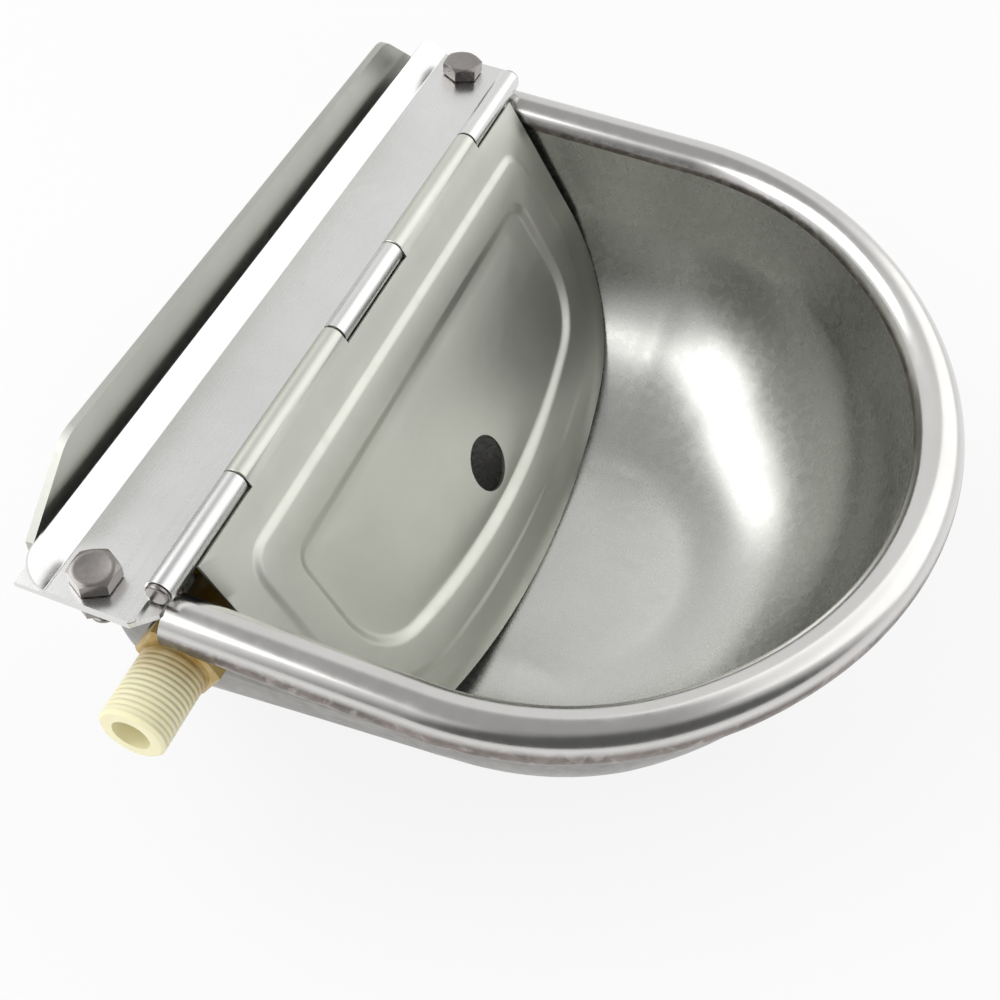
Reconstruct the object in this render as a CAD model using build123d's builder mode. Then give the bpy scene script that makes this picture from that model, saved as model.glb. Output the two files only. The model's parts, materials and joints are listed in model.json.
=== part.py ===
"""Wall-mounted stainless drinking bowl with a float valve behind a hinged cover."""

import os
from math import atan2, cos, degrees, radians, sin

from build123d import *

# Frame: X runs along the wall, +Y points into the wall, +Z is up.
# The origin is on the wall, level with the top of the rim.

# Bowl
overall_width = 276.0  # across the rim
overall_depth = 240.0  # from the wall to the front of the rim
bowl_depth = 98.0  # from the top of the rim to the outside of the floor
bowl_sheet = 1.2
rim_radius = 7.9  # outside radius of the curled rim
rim_curl = 325.0  # degrees that the sheet is rolled through
side_length = 118.0  # from the wall to where the front curve starts
floor_radius = 61.0  # inside radius between wall and floor
rear_radius = 27.0  # inside radius round the rear wall

# Wall plate
plate_sheet = 2.5
plate_top = 24.0
plate_bottom = -86.0
plate_half_width = 130.0
wall_bolt_spacing = 160.0
wall_bolt_drop = 20.0
wall_bolt_hole = 11.0

# Ledge, leaf and hinge
rim_to_ledge = 0.3
ledge_sheet = 2.0
ledge_front = -44.0
ledge_rear_strip = 9.5
ledge_half_width = 141.0
ledge_corner = 6.0
ear_inner = 116.0
cover_sheet = 1.25
leaf_half_width = 141.0
leaf_bend = 11.8  # distance of the bend from the wall
leaf_strip = 10.3  # length of the bent-up strip
leaf_strip_angle = 45.0
hinge_setback = 42.2  # distance of the hinge line from the wall
knuckle_radius = 4.2
pin_radius = 2.9
pin_clearance = 0.05
hinge_half_length = 131.0
knuckle_breaks = (22.3, 87.8)  # where the knuckles meet, each side of the middle
knuckle_gap = 0.8

# Hinged cover
cover_angle = 56.0  # slope below the horizontal
cover_half_width = 118.8
cover_length = 122.2
cover_edge_rise = 29.2
cover_corner = 60.0
notch_depth = 3.4
panel_half_width = 105.6  # outer edge of the pressed panel
panel_top = 15.6
panel_bottom = 107.0
panel_edge_rise = 18.6
panel_corner = 50.0
panel_top_corner = 9.0
dish_half_width = 90.8  # sunk inner field of the panel
dish_top = 29.3
dish_bottom = 93.3
dish_edge_rise = 16.4
dish_corner = 28.0
dish_top_corner = 6.0
panel_depth = 2.5
finger_hole = 20.0
finger_hole_drop = 77.5

# Cover bolts, M8
bolt_x = 132.0
bolt_setback = 23.0
bolt_radius = 4.0
bolt_across_flats = 13.0
bolt_head_height = 5.3
bolt_length = 16.0
nut_height = 6.5
thread_clearance = 0.05

# Float valve, threaded G1/2 outside
valve_setback = 43.0
valve_drop = 30.0
inlet_radius = 10.48
inlet_end = -156.5
inlet_bore = 6.0
inlet_fit = 0.25
washer_radius = 12.5
washer_sheet = 2.0
inner_washer_sheet = 2.4
lock_nut_width = 24.0
lock_nut_height = 6.0
groove_width = 1.5
groove_depth = 0.9
flange_width = 26.0
flange_height = 4.0
barrel_radius = 9.0
barrel_length = 18.8
shoulder_depth = 3.8  # from the flange to the seat's shoulder
window_length = 6.5
window_height = 6.0
plunger_radius = 5.5
running_clearance = 0.08
nozzle_radius = 3.0
nozzle_orifice = 1.75
seat_height = 3.0
nozzle_height = 2.0
plunger_stroke = 3.2
seal_radius = 4.5
seal_height = 2.5
plunger_length = 11.9

# Float lever
nose_lead = 2.2  # nose's place ahead of the pivot
pivot_drop = 9.0  # pivot's distance below the valve axis
lever_pin_radius = 2.0
cheek_gap = 13.0
cheek_sheet = 3.0
cheek_overlap = 6.0  # how far the fork runs back over the barrel
cheek_shift = 1.0
lever_width = 12.0
lever_boss = 5.0
nose_radius = 2.5
nose_gap = 0.3
float_sag = 17.0  # degrees below the horizontal when it hangs
socket_length = 24.0
rod_radius = 2.5
rod_start = 8.0
rod_end = 127.0
float_start = 54.0
float_length = 66.0
float_radius = 16.0
float_edge = 8.0
float_nut_height = 4.5
float_nut_width = 8.0

# Derived places
wall_half_width = overall_width / 2 - 2 * rim_radius
front_reach = overall_depth - side_length - 2 * rim_radius
oval_sum = wall_half_width + 2 * front_reach
side_radius = front_reach**2 / wall_half_width  # as an ellipse curves where it meets the sides
side_centre = wall_half_width - side_radius
front_centre = (wall_half_width - front_reach) * oval_sum / (2 * front_reach)
front_radius = front_reach + front_centre
arc_turn = degrees(atan2(wall_half_width * oval_sum, 2 * front_reach * (wall_half_width + front_reach)))
front_of_line = (Align.CENTER, Align.MAX)
ledge_top = rim_to_ledge
ledge_bottom = ledge_top - ledge_sheet
leaf_top = ledge_top + cover_sheet
hinge_height = ledge_top + knuckle_radius

rear_face = -plate_sheet
valve_line = Plane(origin=(0, -valve_setback, -valve_drop), x_dir=(0, 1, 0), z_dir=(1, 0, 0))
outer_wall = -wall_half_width - bowl_sheet
flange_face = -wall_half_width + inner_washer_sheet
barrel_start = flange_face + flange_height
barrel_end = barrel_start + barrel_length
shoulder = barrel_start + shoulder_depth
nozzle_tip = shoulder + nozzle_height
seal_face = nozzle_tip + plunger_stroke
plunger_back = seal_face + seal_height + plunger_length
pivot_x = plunger_back + nose_gap + nose_radius + nose_lead
pivot_z = -valve_drop - pivot_drop


def rim_line(grow, rear_y):
    """Draw the bowl's wall line, grown outwards, from left rear round the front to right rear."""
    half_width = wall_half_width + grow
    Line((-half_width, rear_y), (-half_width, -side_length))
    CenterArc((-side_centre, -side_length), side_radius + grow, 180, arc_turn)
    front = (0, -side_length + front_centre)
    CenterArc(front, front_radius + grow, 180 + arc_turn, 180 - 2 * arc_turn)
    CenterArc((side_centre, -side_length), side_radius + grow, 360 - arc_turn, arc_turn)
    Line((half_width, -side_length), (half_width, rear_y))


# Bowl: wall and floor drawn from one sheet, cut down in front to where the rim starts
with BuildPart() as bowl:
    with BuildSketch(Plane.XY.offset(-bowl_depth)):
        with BuildLine():
            rim_line(bowl_sheet, rear_face)
            Line((-outer_wall, rear_face), (outer_wall, rear_face))
        make_face()
    extrude(amount=bowl_depth + ledge_bottom)
    floor_edges = bowl.faces().sort_by(Axis.Z)[0].edges().sort_by(Axis.Y)
    fillet(floor_edges[:-1], floor_radius + bowl_sheet)
    rear_edges = bowl.faces().sort_by(Axis.Y)[-1].edges().sort_by(Axis.Z)
    fillet(rear_edges[:-1], rear_radius + bowl_sheet)
    offset(amount=-bowl_sheet, openings=bowl.faces().sort_by(Axis.Z)[-1])
    with BuildSketch(Plane.XY.offset(-rim_radius)):
        with Locations((0, ledge_front)):
            Rectangle(overall_width, overall_depth, align=front_of_line)
    extrude(amount=rim_radius, mode=Mode.SUBTRACT)
    with BuildSketch(valve_line.offset(outer_wall - bowl_sheet)):
        Circle(inlet_radius + inlet_fit)
    extrude(amount=3 * bowl_sheet, mode=Mode.SUBTRACT)
    with BuildSketch(Plane.XZ.offset(plate_sheet)):
        with Locations((0, -wall_bolt_drop)):
            with GridLocations(wall_bolt_spacing, 0, 2, 1):
                Circle(wall_bolt_hole / 2)
    extrude(amount=2 * bowl_sheet, mode=Mode.SUBTRACT)

# Rim: the sheet's edge rolled outwards, joined to the wall along its whole start
with BuildPart() as bowl_rim:
    rim_start = Plane(
        origin=(-wall_half_width - rim_radius, ledge_front, -rim_radius),
        x_dir=(1, 0, 0),
        z_dir=(0, -1, 0),
    )
    with BuildLine(Plane.XY.offset(-rim_radius)) as rim_path:
        rim_line(rim_radius, ledge_front)
    with BuildSketch(rim_start):
        with BuildLine():
            outer = CenterArc((0, 0), rim_radius, 0, rim_curl)
            inner = CenterArc((0, 0), rim_radius - bowl_sheet, 0, rim_curl)
            Line(outer @ 0, inner @ 0)
            Line(outer @ 1, inner @ 1)
        make_face()
    sweep(path=rim_path.wires()[0])

# Back plate: wide behind the leaf, narrowing below to stay behind the bowl
with BuildPart() as back_plate:
    with BuildSketch(Plane.XZ):
        with BuildLine():
            Polyline(
                (0, plate_top),
                (0.82 * plate_half_width, plate_top),
                (plate_half_width, 0.17 * plate_top),
                (plate_half_width, -12.0),
                (0.84 * plate_half_width, -36.0),
                (0.73 * plate_half_width, plate_bottom),
                (0, plate_bottom),
            )
            mirror(about=Plane.YZ)
        make_face()
    extrude(amount=plate_sheet)
    corners = back_plate.edges().filter_by(Axis.Y).group_by(Axis.Z)
    fillet(corners[0], 16.0)
    fillet(back_plate.edges().filter_by(Axis.Y).filter_by(GeomType.LINE).group_by(Axis.Z)[-1], 12.0)
    with BuildSketch(Plane.XZ):
        with Locations((0, -wall_bolt_drop)):
            with GridLocations(wall_bolt_spacing, 0, 2, 1):
                Circle(wall_bolt_hole / 2)
    extrude(amount=plate_sheet, mode=Mode.SUBTRACT)

# Rear ledge: a frame on the bowl's rear edge, open over the float chamber
with BuildPart() as rear_ledge:
    with BuildSketch(Plane.XY.offset(ledge_bottom)) as ledge_plan:
        with Locations((0, rear_face)):
            Rectangle(2 * ledge_half_width, rear_face - ledge_front, align=front_of_line)
        chamfer(ledge_plan.vertices().group_by(Axis.Y)[0], ledge_corner)
        with Locations((0, rear_face - ledge_rear_strip)):
            Rectangle(2 * ear_inner, overall_depth, align=front_of_line, mode=Mode.SUBTRACT)
        with Locations((-bolt_x, -bolt_setback), (bolt_x, -bolt_setback)):
            Circle(bolt_radius + 0.5, mode=Mode.SUBTRACT)
    extrude(amount=ledge_sheet)


def knuckle_spans(fixed):
    """X ranges of the knuckles: fixed ones at the ends and middle, moving ones between."""
    near, far = knuckle_breaks
    half = knuckle_gap / 2
    if fixed:
        middle = (-near + half, near - half)
        return [(-hinge_half_length, -far - half), middle, (far + half, hinge_half_length)]
    return [(-far + half, -near - half), (near + half, far - half)]


def knuckles(fixed):
    """Add the rolled knuckles round the hinge line."""
    for start, end in knuckle_spans(fixed):
        with BuildSketch(Plane.YZ.offset(start)) as ring:
            with Locations((-hinge_setback, hinge_height)):
                Circle(knuckle_radius)
        extrude(ring.sketch, amount=end - start)


def pin_bore():
    """Cut the bore for the hinge pin through every knuckle."""
    with BuildSketch(Plane.YZ.offset(-overall_width / 2)) as bore:
        with Locations((-hinge_setback, hinge_height)):
            Circle(pin_radius + pin_clearance)
    extrude(bore.sketch, amount=overall_width, mode=Mode.SUBTRACT)


# Hinge leaf: flat strip on the ledge, rear edge bent up, knuckles rolled from its front edge
with BuildPart() as hinge_leaf:
    strip_run = leaf_strip * cos(radians(leaf_strip_angle))
    strip_rise = leaf_strip * sin(radians(leaf_strip_angle))
    with BuildSketch(Plane.YZ):
        with BuildLine():
            FilletPolyline(
                (-hinge_setback, ledge_top),
                (-leaf_bend, ledge_top),
                (-leaf_bend + strip_run, ledge_top + strip_rise),
                radius=2.0,
            )
            offset(amount=cover_sheet, side=Side.LEFT)
        make_face()
    extrude(amount=leaf_half_width, both=True)
    tips = hinge_leaf.edges().filter_by(lambda edge: abs(edge.length - cover_sheet) < 0.01)
    fillet(tips.group_by(Axis.Z)[-1], 8.0)
    knuckle_clear = -hinge_setback + knuckle_radius + knuckle_gap
    corner_line = -hinge_setback + 0.67 * knuckle_radius
    with BuildSketch(Plane.XY.offset(ledge_top)):
        for start, end in knuckle_spans(False):
            with Locations(((start + end) / 2, knuckle_clear)):
                Rectangle(end - start + 2 * knuckle_gap, 20.0, align=front_of_line)
        for side in (-1, 1):
            with Locations((side * (hinge_half_length + 10.0), corner_line)):
                Rectangle(20.0, 20.0, align=front_of_line)
    extrude(amount=cover_sheet, mode=Mode.SUBTRACT)
    step_corners = hinge_leaf.edges().filter_by(Axis.Z)
    step_corners = step_corners.filter_by(lambda edge: abs(edge.center().Y - corner_line) < 0.01)
    step_corners = step_corners.filter_by(lambda edge: abs(edge.center().X) > hinge_half_length - 0.01)
    fillet(step_corners, 2.6)
    knuckles(True)
    pin_bore()
    with BuildSketch(Plane.XY.offset(ledge_top)):
        with Locations((-bolt_x, -bolt_setback), (bolt_x, -bolt_setback)):
            Circle(bolt_radius + 0.5)
    extrude(amount=cover_sheet, mode=Mode.SUBTRACT)

# Hinged cover: drawn in its own plane, local Y runs up the slope to the hinge line
slope = radians(cover_angle)
cover_plane = Plane(
    origin=(0, -hinge_setback, hinge_height),
    x_dir=(1, 0, 0),
    z_dir=(0, -sin(slope), cos(slope)),
)


def shield(half_width, top, bottom, edge_rise, corner, top_corner=0.0):
    """Draw the cover's outline: straight top and sides, a shallow arc for the free edge."""
    side_end = edge_rise - bottom
    with BuildSketch() as face:
        with BuildLine():
            Polyline(
                (-half_width, side_end),
                (-half_width, -top),
                (half_width, -top),
                (half_width, side_end),
            )
            ThreePointArc((half_width, side_end), (0, -bottom), (-half_width, side_end))
        make_face()
        fillet(face.vertices().group_by(Axis.Y)[0], corner)
        if top_corner:
            fillet(face.vertices().group_by(Axis.Y)[-1], top_corner)
    return face.sketch


panel_edge = (panel_half_width, panel_top, panel_bottom, panel_edge_rise, panel_corner, panel_top_corner)
dish_edge = (dish_half_width, dish_top, dish_bottom, dish_edge_rise, dish_corner, dish_top_corner)
front_skin = knuckle_radius
back_skin = knuckle_radius - cover_sheet
with BuildPart() as baffle:
    with BuildSketch(cover_plane.offset(back_skin)):
        add(shield(cover_half_width, 0, cover_length, cover_edge_rise, cover_corner))
    extrude(amount=cover_sheet)
    for skin, mode in ((back_skin, Mode.ADD), (front_skin, Mode.SUBTRACT)):
        with BuildSketch(cover_plane.offset(skin)):
            add(shield(*panel_edge))
        with BuildSketch(cover_plane.offset(skin - panel_depth)):
            add(shield(*dish_edge))
        loft(ruled=True, mode=mode)
    with BuildSketch(cover_plane.offset(back_skin - panel_depth)):
        with Locations((0, -finger_hole_drop)):
            Circle(finger_hole / 2)
    extrude(amount=2 * panel_depth, mode=Mode.SUBTRACT)
    with BuildSketch(cover_plane.offset(back_skin)):
        for start, end in knuckle_spans(True):
            with Locations(((start + end) / 2, 0)):
                Rectangle(end - start + 2 * knuckle_gap, 2 * notch_depth)
    extrude(amount=cover_sheet, mode=Mode.SUBTRACT)
    knuckles(False)
    pin_bore()

# Hinge pin, its ends riveted over
with BuildPart() as hinge_pin:
    with BuildSketch(Plane.YZ.offset(-hinge_half_length - 0.2)):
        with Locations((-hinge_setback, hinge_height)):
            Circle(pin_radius)
    extrude(amount=2 * hinge_half_length + 0.4)
    for face in hinge_pin.faces().filter_by(GeomType.PLANE).sort_by(Axis.X):
        with BuildSketch(Plane(origin=face.center(), x_dir=(0, 1, 0), z_dir=face.normal_at())):
            Circle(knuckle_radius - 0.5)
        extrude(amount=1.4)
    fillet(hinge_pin.faces().sort_by(Axis.X)[0].edges(), 0.8)
    fillet(hinge_pin.faces().sort_by(Axis.X)[-1].edges(), 0.8)


def cover_bolt(side):
    """Hexagon bolt standing head up through the leaf and the ledge."""
    place = (side * bolt_x, -bolt_setback)
    with BuildPart() as bolt:
        with BuildSketch(Plane.XY.offset(leaf_top)) as head:
            with Locations(place):
                RegularPolygon(bolt_across_flats / 2, 6, major_radius=False)
        extrude(head.sketch, amount=bolt_head_height)
        chamfer(bolt.faces().sort_by(Axis.Z)[-1].edges(), 0.6)
        with BuildSketch(Plane.XY.offset(leaf_top)) as shank:
            with Locations(place):
                Circle(bolt_radius)
        extrude(shank.sketch, amount=-bolt_length)
        chamfer(bolt.faces().sort_by(Axis.Z)[0].edges(), 0.8)
    return bolt


def weld_nut(side):
    """Hexagon nut fixed under the ear of the ledge."""
    with BuildPart() as nut:
        with BuildSketch(Plane.XY.offset(ledge_bottom)) as section:
            with Locations((side * bolt_x, -bolt_setback)):
                RegularPolygon(bolt_across_flats / 2, 6, major_radius=False)
                Circle(bolt_radius + thread_clearance, mode=Mode.SUBTRACT)
        extrude(section.sketch, amount=-nut_height)
        chamfer(nut.faces().sort_by(Axis.Z)[0].outer_wire().edges(), 0.6)
    return nut


cover_bolt_left = cover_bolt(-1)
cover_bolt_right = cover_bolt(1)
weld_nut_left = weld_nut(-1)
weld_nut_right = weld_nut(1)


def ring(start, length, outside, inside=0.0, mode=Mode.ADD):
    """Add or cut a round stretch along the valve line, solid or with a bore."""
    with BuildSketch(valve_line.offset(start)) as section:
        Circle(outside)
        if inside:
            Circle(inside, mode=Mode.SUBTRACT)
    extrude(section.sketch, amount=length, mode=mode)


# Rubber washers either side of the bowl's wall; the inner one follows the wall's curve
thread_bore = inlet_radius + thread_clearance
with BuildPart() as seal_washer_outer:
    ring(outer_wall - washer_sheet, washer_sheet, washer_radius, thread_bore)

with BuildPart() as seal_washer_inner:
    ring(-wall_half_width, inner_washer_sheet, washer_radius, thread_bore)
    add(bowl.part, mode=Mode.SUBTRACT)

# Lock nut on the inlet thread
nut_start = outer_wall - washer_sheet - lock_nut_height
with BuildPart() as lock_nut:
    with BuildSketch(valve_line.offset(nut_start)):
        RegularPolygon(lock_nut_width / 2, 6, major_radius=False)
        Circle(thread_bore, mode=Mode.SUBTRACT)
    extrude(amount=lock_nut_height)
    chamfer(lock_nut.faces().sort_by(Axis.X)[0].outer_wire().edges(), 0.9)

# Valve body: threaded inlet, flange, guide barrel with water windows, and the lever's fork
groove_end = nut_start - 0.5
cheek_line = Plane.XZ.offset(valve_setback)
with BuildPart() as valve_body:
    ring(inlet_end, flange_face - inlet_end, inlet_radius)
    chamfer(valve_body.faces().sort_by(Axis.X)[0].edges(), 1.0)
    groove_start = groove_end - groove_width
    ring(groove_start, groove_width, 2 * inlet_radius, inlet_radius - groove_depth, Mode.SUBTRACT)
    with BuildSketch(valve_line.offset(flange_face)):
        RegularPolygon(flange_width / 2, 6, major_radius=False)
    extrude(amount=flange_height)
    ring(barrel_start, barrel_length, barrel_radius)
    for start, direction in ((cheek_gap / 2, 1), (-cheek_gap / 2, -1)):
        with BuildSketch(cheek_line.offset(start)):
            with Locations((barrel_end - cheek_overlap / 2, -valve_drop - cheek_shift)):
                Rectangle(cheek_overlap, 2 * barrel_radius - cheek_overlap)
            with Locations((pivot_x, pivot_z)):
                Circle(lever_boss)
            make_hull()
            with Locations((pivot_x, pivot_z)):
                Circle(lever_pin_radius + thread_clearance / 2, mode=Mode.SUBTRACT)
        extrude(amount=direction * cheek_sheet)
    ring(inlet_end, shoulder - inlet_end, inlet_bore, mode=Mode.SUBTRACT)
    guide_length = barrel_end - shoulder + cheek_overlap
    ring(shoulder, guide_length, plunger_radius + running_clearance, mode=Mode.SUBTRACT)
    with BuildSketch(cheek_line.offset(-2 * barrel_radius)):
        with Locations((shoulder + 1.0 + window_length / 2, -valve_drop)):
            SlotOverall(window_length, window_height)
    extrude(amount=4 * barrel_radius, mode=Mode.SUBTRACT)

# Nozzle insert against the shoulder of the inlet bore
with BuildPart() as valve_seat:
    ring(shoulder - seat_height, seat_height, inlet_bore - thread_clearance)
    ring(shoulder, nozzle_height, nozzle_radius)
    ring(shoulder - seat_height, seat_height + nozzle_height, nozzle_orifice, mode=Mode.SUBTRACT)
    chamfer(valve_seat.faces().sort_by(Axis.X)[-1].outer_wire().edges(), 0.5)

# Plunger and its rubber face, standing open
with BuildPart() as plunger_seal:
    ring(seal_face, seal_height, seal_radius)
    fillet(plunger_seal.faces().sort_by(Axis.X)[0].edges(), 0.4)

with BuildPart() as plunger:
    ring(seal_face + seal_height, plunger_length, plunger_radius)
    chamfer(plunger.faces().sort_by(Axis.X)[-1].edges(), 0.6)

# Float lever: short nose behind the plunger, long socket for the rod
droop = radians(float_sag)
arm_line = Plane(
    origin=(pivot_x, -valve_setback, pivot_z),
    x_dir=(0, 1, 0),
    z_dir=(cos(droop), 0, -sin(droop)),
)


def arm_ring(start, length, outside, mode=Mode.ADD):
    """Add or cut a round stretch along the float arm."""
    with BuildSketch(arm_line.offset(start)) as section:
        Circle(outside)
    extrude(section.sketch, amount=length, mode=mode)


with BuildPart() as lever:
    with BuildSketch(cheek_line):
        with Locations((pivot_x, pivot_z)):
            Circle(lever_boss)
        with Locations((pivot_x - nose_lead, -valve_drop)):
            Circle(nose_radius)
        make_hull()
    extrude(amount=lever_width / 2, both=True)
    arm_ring(0, socket_length, lever_boss)
    arm_ring(rod_start, rod_end, rod_radius + thread_clearance, Mode.SUBTRACT)
    with BuildSketch(cheek_line.offset(-lever_width)):
        with Locations((pivot_x, pivot_z)):
            Circle(lever_pin_radius + running_clearance)
    extrude(amount=2 * lever_width, mode=Mode.SUBTRACT)

pin_half_length = cheek_gap / 2 + cheek_sheet
with BuildPart() as lever_pin:
    with BuildSketch(cheek_line):
        with Locations((pivot_x, pivot_z)):
            Circle(lever_pin_radius)
    extrude(amount=pin_half_length, both=True)
    for start, direction in ((pin_half_length, 1), (-pin_half_length, -1)):
        with BuildSketch(cheek_line.offset(start)):
            with Locations((pivot_x, pivot_z)):
                Circle(1.6 * lever_pin_radius)
        extrude(amount=direction * 1.2)

# Float on its rod, held by a nut
with BuildPart() as float_rod:
    arm_ring(rod_start, rod_end - rod_start, rod_radius)
    chamfer(float_rod.faces().sort_by(Axis.X)[-1].edges(), 0.5)

with BuildPart() as float_body:
    arm_ring(float_start, float_length, float_radius)
    fillet(float_body.edges().filter_by(GeomType.CIRCLE), float_edge)
    arm_ring(0, rod_end, rod_radius + thread_clearance, Mode.SUBTRACT)

with BuildPart() as float_nut:
    with BuildSketch(arm_line.offset(float_start + float_length)):
        RegularPolygon(float_nut_width / 2, 6, major_radius=False)
        Circle(rod_radius + thread_clearance, mode=Mode.SUBTRACT)
    extrude(amount=float_nut_height)

pieces = {
    "bowl": bowl,
    "bowl_rim": bowl_rim,
    "back_plate": back_plate,
    "rear_ledge": rear_ledge,
    "hinge_leaf": hinge_leaf,
    "baffle": baffle,
    "hinge_pin": hinge_pin,
    "cover_bolt_left": cover_bolt_left,
    "cover_bolt_right": cover_bolt_right,
    "weld_nut_left": weld_nut_left,
    "weld_nut_right": weld_nut_right,
    "valve_body": valve_body,
    "lock_nut": lock_nut,
    "seal_washer_outer": seal_washer_outer,
    "seal_washer_inner": seal_washer_inner,
    "valve_seat": valve_seat,
    "plunger": plunger,
    "plunger_seal": plunger_seal,
    "lever": lever,
    "lever_pin": lever_pin,
    "float_rod": float_rod,
    "float": float_body,
    "float_nut": float_nut,
}
os.makedirs("parts", exist_ok=True)
for name, piece in pieces.items():
    piece.part.label = name
    export_step(piece.part, f"parts/{name}.step")
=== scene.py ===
"""Looks of the wall-mounted drinking bowl: metals, plastics, drawn and rolled sheet, threads and studio."""

import json
from math import asin, atan2, cos, pi, radians, sin

import bmesh
import bpy
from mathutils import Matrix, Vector, noise


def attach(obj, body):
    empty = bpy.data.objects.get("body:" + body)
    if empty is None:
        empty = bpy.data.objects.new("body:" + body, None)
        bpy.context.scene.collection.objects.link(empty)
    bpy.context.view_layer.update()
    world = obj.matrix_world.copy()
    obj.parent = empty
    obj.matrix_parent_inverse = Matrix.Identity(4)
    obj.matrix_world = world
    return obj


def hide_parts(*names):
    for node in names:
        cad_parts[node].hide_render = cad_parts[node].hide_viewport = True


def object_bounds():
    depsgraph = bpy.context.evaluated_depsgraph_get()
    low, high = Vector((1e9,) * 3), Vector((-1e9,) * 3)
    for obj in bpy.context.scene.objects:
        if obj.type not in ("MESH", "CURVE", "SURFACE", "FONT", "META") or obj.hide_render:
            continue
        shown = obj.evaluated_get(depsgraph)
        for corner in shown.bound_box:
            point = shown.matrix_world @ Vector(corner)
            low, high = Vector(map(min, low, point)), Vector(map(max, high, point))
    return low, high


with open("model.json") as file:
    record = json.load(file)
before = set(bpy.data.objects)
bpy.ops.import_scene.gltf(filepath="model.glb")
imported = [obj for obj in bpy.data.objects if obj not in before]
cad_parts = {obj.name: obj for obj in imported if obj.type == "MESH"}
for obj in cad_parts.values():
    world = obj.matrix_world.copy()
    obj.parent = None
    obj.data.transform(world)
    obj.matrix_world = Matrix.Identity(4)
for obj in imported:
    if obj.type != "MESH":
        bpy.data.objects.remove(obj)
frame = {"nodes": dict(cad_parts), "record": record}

cad_low, cad_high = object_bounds()
MM = 0.001
nodes = frame["nodes"]


# ---------------------------------------------------------------- material graph helpers
class Graph:
    """A material's node tree, with short calls for the nodes that this scene uses."""

    def __init__(self, name, base, roughness, metallic=0.0):
        self.material = bpy.data.materials.new(name)
        self.material.use_nodes = True
        self.tree = self.material.node_tree
        self.shader = self.tree.nodes["Principled BSDF"]
        self.shader.inputs["Base Color"].default_value = (*base, 1)
        self.shader.inputs["Roughness"].default_value = roughness
        self.shader.inputs["Metallic"].default_value = metallic
        self.coords = self.tree.nodes.new("ShaderNodeTexCoord").outputs["Object"]

    def node(self, kind, **settings):
        made = self.tree.nodes.new(kind)
        for key, value in settings.items():
            setattr(made, key, value)
        return made

    def feed(self, socket, value):
        if isinstance(value, bpy.types.NodeSocket):
            self.tree.links.new(value, socket)
        else:
            socket.default_value = value

    def stretched(self, scale, turn=(0, 0, 0), shift=(0, 0, 0)):
        """Object coordinates turned by degrees, then scaled, for grain that runs one way."""
        turned = self.node("ShaderNodeMapping", vector_type="POINT")
        self.feed(turned.inputs["Vector"], self.coords)
        turned.inputs["Rotation"].default_value = [radians(angle) for angle in turn]
        turned.inputs["Location"].default_value = shift
        scaled = self.node("ShaderNodeMapping", vector_type="POINT")
        self.feed(scaled.inputs["Vector"], turned.outputs["Vector"])
        scaled.inputs["Scale"].default_value = scale
        return scaled.outputs["Vector"]

    def noise(self, vector, scale=1.0, detail=2.0, roughness=0.5, distortion=0.0):
        made = self.node("ShaderNodeTexNoise")
        self.feed(made.inputs["Vector"], vector)
        made.inputs["Scale"].default_value = scale
        made.inputs["Detail"].default_value = detail
        made.inputs["Roughness"].default_value = roughness
        made.inputs["Distortion"].default_value = distortion
        return made.outputs["Fac"]

    def span(self, value, low, high, to_low=0.0, to_high=1.0, smooth=False):
        """Map low..high of a value onto to_low..to_high, clamped."""
        kind = "SMOOTHSTEP" if smooth else "LINEAR"
        made = self.node("ShaderNodeMapRange", interpolation_type=kind)
        self.feed(made.inputs["Value"], value)
        made.inputs["From Min"].default_value = low
        made.inputs["From Max"].default_value = high
        made.inputs["To Min"].default_value = to_low
        made.inputs["To Max"].default_value = to_high
        return made.outputs["Result"]

    def math(self, operation, first, second=0.0):
        made = self.node("ShaderNodeMath", operation=operation)
        self.feed(made.inputs[0], first)
        self.feed(made.inputs[1], second)
        return made.outputs[0]

    def axis(self, letter):
        """One object coordinate."""
        made = self.node("ShaderNodeSeparateXYZ")
        self.feed(made.inputs[0], self.coords)
        return made.outputs[letter]

    def mix(self, share, first, second):
        """Blend two colours."""
        made = self.node("ShaderNodeMix", data_type="RGBA", clamp_factor=True)
        self.feed(made.inputs["Factor"], share)
        for socket, value in ((made.inputs[6], first), (made.inputs[7], second)):
            self.feed(socket, value if isinstance(value, bpy.types.NodeSocket) else (*value, 1))
        return made.outputs[2]

    def bump(self, height, depth, under=None):
        """Raise the surface by height times depth in metres, on top of an earlier bump."""
        made = self.node("ShaderNodeBump")
        made.inputs["Strength"].default_value = 1.0
        made.inputs["Distance"].default_value = depth
        self.feed(made.inputs["Height"], height)
        if under is not None:
            self.feed(made.inputs["Normal"], under)
        return made.outputs["Normal"]

    def finish(self, colour=None, roughness=None, normal=None):
        for name, value in (("Base Color", colour), ("Roughness", roughness), ("Normal", normal)):
            if value is not None:
                self.feed(self.shader.inputs[name], value)
        return self.material


def scratches(graph, turns, across, along, edge):
    """Sparse fine scratches: thresholded noise drawn out along several directions."""
    total = None
    for step, turn in enumerate(turns):
        vector = graph.stretched((along, across, across), turn, (0.37 * step, 0.21 * step, 0.53 * step))
        line = graph.span(graph.noise(vector, 1.0, 1.0), edge, edge + 0.05)
        total = line if total is None else graph.math("MAXIMUM", total, line)
    return total


sheet_marks, drawn_marks = 0.12, 0.05  # share of scratch_depth that scratches reach
scratch_depth = 0.00003


def steel(name, tint, dark, roughness, brush, slope, brush_depth):
    """Satin stainless sheet: faint grain, cloudy tone, smudges and a few fine scratches."""
    graph = Graph(name, tint, roughness, 1.0)
    return graph.finish(*steel_parts(graph, tint, dark, roughness, brush, slope, brush_depth, sheet_marks))


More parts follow.
